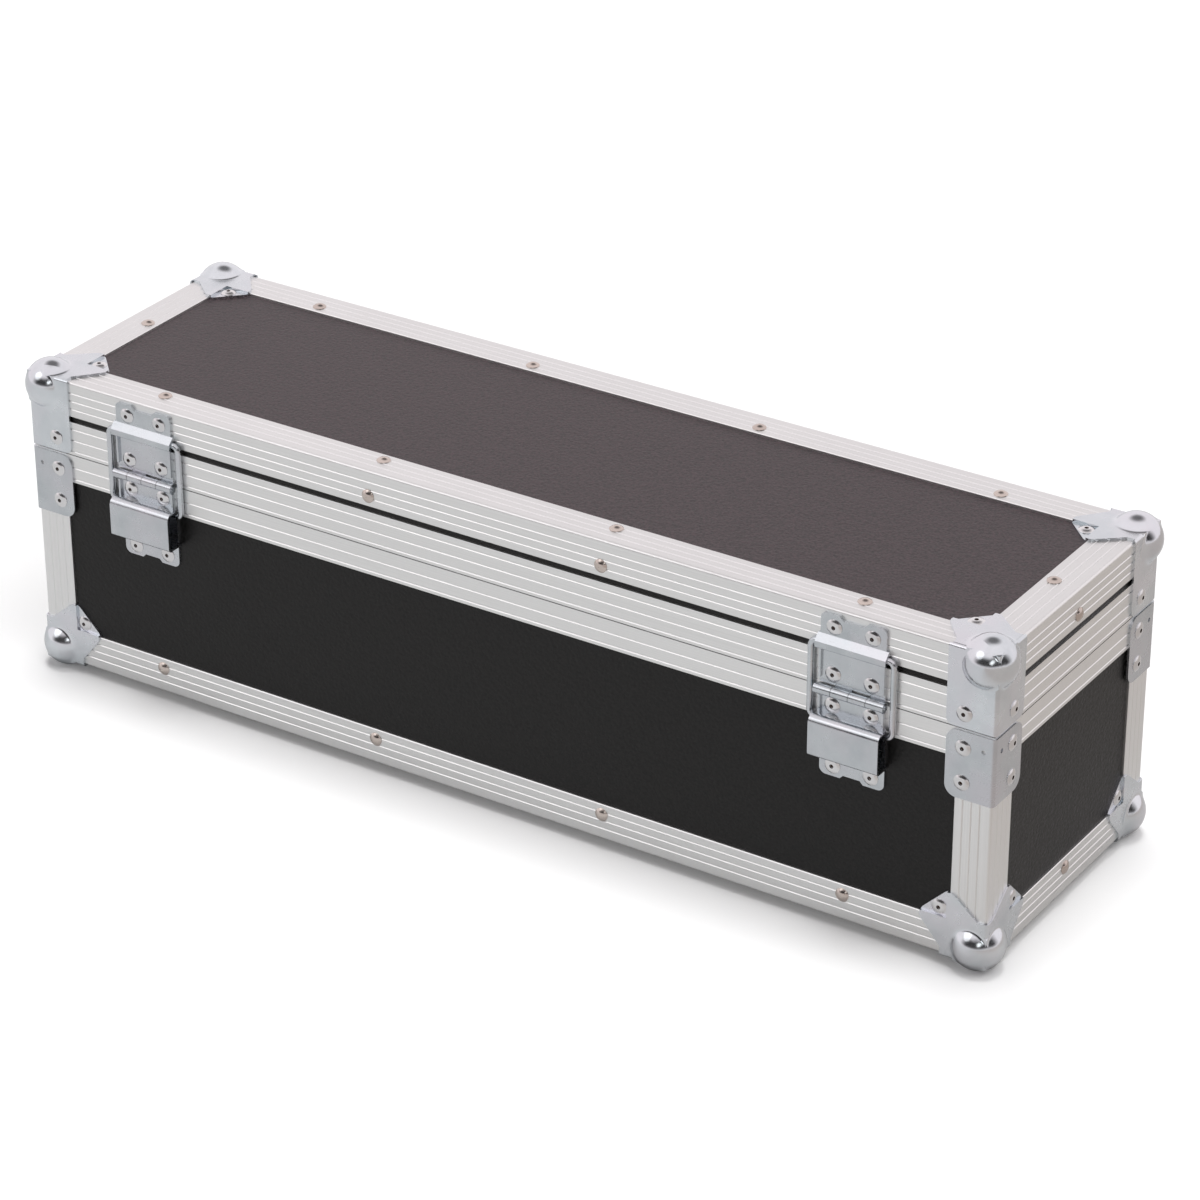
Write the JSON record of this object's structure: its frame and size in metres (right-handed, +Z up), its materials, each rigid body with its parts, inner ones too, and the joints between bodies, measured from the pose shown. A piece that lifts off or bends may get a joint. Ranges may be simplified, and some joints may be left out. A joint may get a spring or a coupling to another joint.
{
  "type": "foam-lined transport case",
  "caption": "Long transport case with a hinged lid: black film-faced panels in grooved aluminium edges, steel ball corners, stop hinges, draw latches, drop handle and foam lining.",
  "frame": {"origin": "on the floor, under the middle of the whole object's box", "axes": "+X along the case to the right as seen from the hinge side, +Y from the hinge side towards the latch side, +Z up"},
  "size_m": [0.6434, 0.2002, 0.198],
  "materials": {
    "black_panel": "plywood with a satin black film",
    "aluminium_edge": "mill finish, satin",
    "zinc_steel": "zinc plated, bright",
    "bright_wire": "zinc plated wire",
    "rivet": "bright blind rivet",
    "foam": "open-cell foam, matt",
    "grip": "moulded, matt"
  },
  "bodies": {
    "base": {"floor_panel": "black_panel", "base_wall_hinge_side": "black_panel", "bottom_angle_hinge_side": "aluminium_edge", "base_rim_hinge_side": "aluminium_edge", "base_wall_latch_side": "black_panel", "bottom_angle_latch_side": "aluminium_edge", "base_rim_latch_side": "aluminium_edge", "base_wall_left_end": "black_panel", "bottom_angle_left_end": "aluminium_edge", "base_rim_left_end": "aluminium_edge", "base_wall_right_end": "black_panel", "bottom_angle_right_end": "aluminium_edge", "base_rim_right_end": "aluminium_edge", "long_foam": "foam", "end_foam": "foam", "floor_foam": "foam", "corner_posts": "aluminium_edge", "base_ball_corners": "zinc_steel", "corner_braces": "zinc_steel", "hinge_lower_leaf_left": "zinc_steel", "hinge_pocket_left": "zinc_steel", "hinge_lower_leaf_right": "zinc_steel", "hinge_pocket_right": "zinc_steel", "latch_plate_left": "zinc_steel", "latch_plate_right": "zinc_steel", "handle_plate": "zinc_steel", "hinge_pins": "bright_wire", "latch_pins": "bright_wire", "base_edge_rivets": "rivet", "base_fixing_rivets": "rivet"},
    "lid": {"lid_top_panel": "black_panel", "lid_angle_hinge_side": "aluminium_edge", "lid_rim_hinge_side": "aluminium_edge", "lid_angle_latch_side": "aluminium_edge", "lid_rim_latch_side": "aluminium_edge", "lid_angle_left_end": "aluminium_edge", "lid_rim_left_end": "aluminium_edge", "lid_angle_right_end": "aluminium_edge", "lid_rim_right_end": "aluminium_edge", "lid_long_walls": "black_panel", "lid_end_walls": "black_panel", "lid_foam": "foam", "lid_ball_corners": "zinc_steel", "hinge_upper_leaf_left": "zinc_steel", "hinge_upper_leaf_right": "zinc_steel", "latch_keeper_left": "zinc_steel", "latch_keeper_right": "zinc_steel", "lid_edge_rivets": "rivet", "lid_fixing_rivets": "rivet"},
    "hinge_bail_left": {"hinge_bail_left": "bright_wire"},
    "latch_lever_left": {"latch_lever_left": "zinc_steel"},
    "latch_loop_left": {"latch_loop_left": "bright_wire"},
    "hinge_bail_right": {"hinge_bail_right": "bright_wire"},
    "latch_lever_right": {"latch_lever_right": "zinc_steel"},
    "latch_loop_right": {"latch_loop_right": "bright_wire"},
    "handle": {"handle_bail": "bright_wire", "handle_grip": "grip"}
  },
  "joints": [
    {"name": "lid_hinge", "type": "hinge", "parent": "base", "child": "lid", "pos_m": [0, -0.09347, 0.14485], "axis": [1, 0, 0], "range_deg": [0, 95]},
    {"name": "hinge_bail_left_turn", "type": "hinge", "parent": "lid", "child": "hinge_bail_left", "pos_m": [-0.232, -0.09177, 0.17185], "axis": [1, 0, 0], "range_deg": [-55.1, 0]},
    {"name": "latch_lever_left_turn", "type": "hinge", "parent": "base", "child": "latch_lever_left", "pos_m": [-0.15, 0.09433, 0.12485], "axis": [1, 0, 0], "range_deg": [0, 100]},
    {"name": "latch_loop_left_turn", "type": "hinge", "parent": "latch_lever_left", "child": "latch_loop_left", "pos_m": [-0.15, 0.09433, 0.11685], "axis": [1, 0, 0], "range_deg": [-89, 0]},
    {"name": "hinge_bail_right_turn", "type": "hinge", "parent": "lid", "child": "hinge_bail_right", "pos_m": [0.232, -0.09177, 0.17185], "axis": [1, 0, 0], "range_deg": [-55.1, 0]},
    {"name": "latch_lever_right_turn", "type": "hinge", "parent": "base", "child": "latch_lever_right", "pos_m": [0.15, 0.09433, 0.12485], "axis": [1, 0, 0], "range_deg": [0, 100]},
    {"name": "latch_loop_right_turn", "type": "hinge", "parent": "latch_lever_right", "child": "latch_loop_right", "pos_m": [0.15, 0.09433, 0.11685], "axis": [1, 0, 0], "range_deg": [-89, 0]},
    {"name": "handle_turn", "type": "hinge", "parent": "base", "child": "handle", "pos_m": [0, 0.09363, 0.09473], "axis": [1, 0, 0], "range_deg": [0, 90]}
  ],
  "couplings": [
    {"joint": "hinge_bail_left_turn", "follows": "lid_hinge", "ratio": -0.57499},
    {"joint": "latch_loop_left_turn", "follows": "latch_lever_left_turn", "ratio": -0.88},
    {"joint": "hinge_bail_right_turn", "follows": "lid_hinge", "ratio": -0.57499},
    {"joint": "latch_loop_right_turn", "follows": "latch_lever_right_turn", "ratio": -0.88}
  ]
}
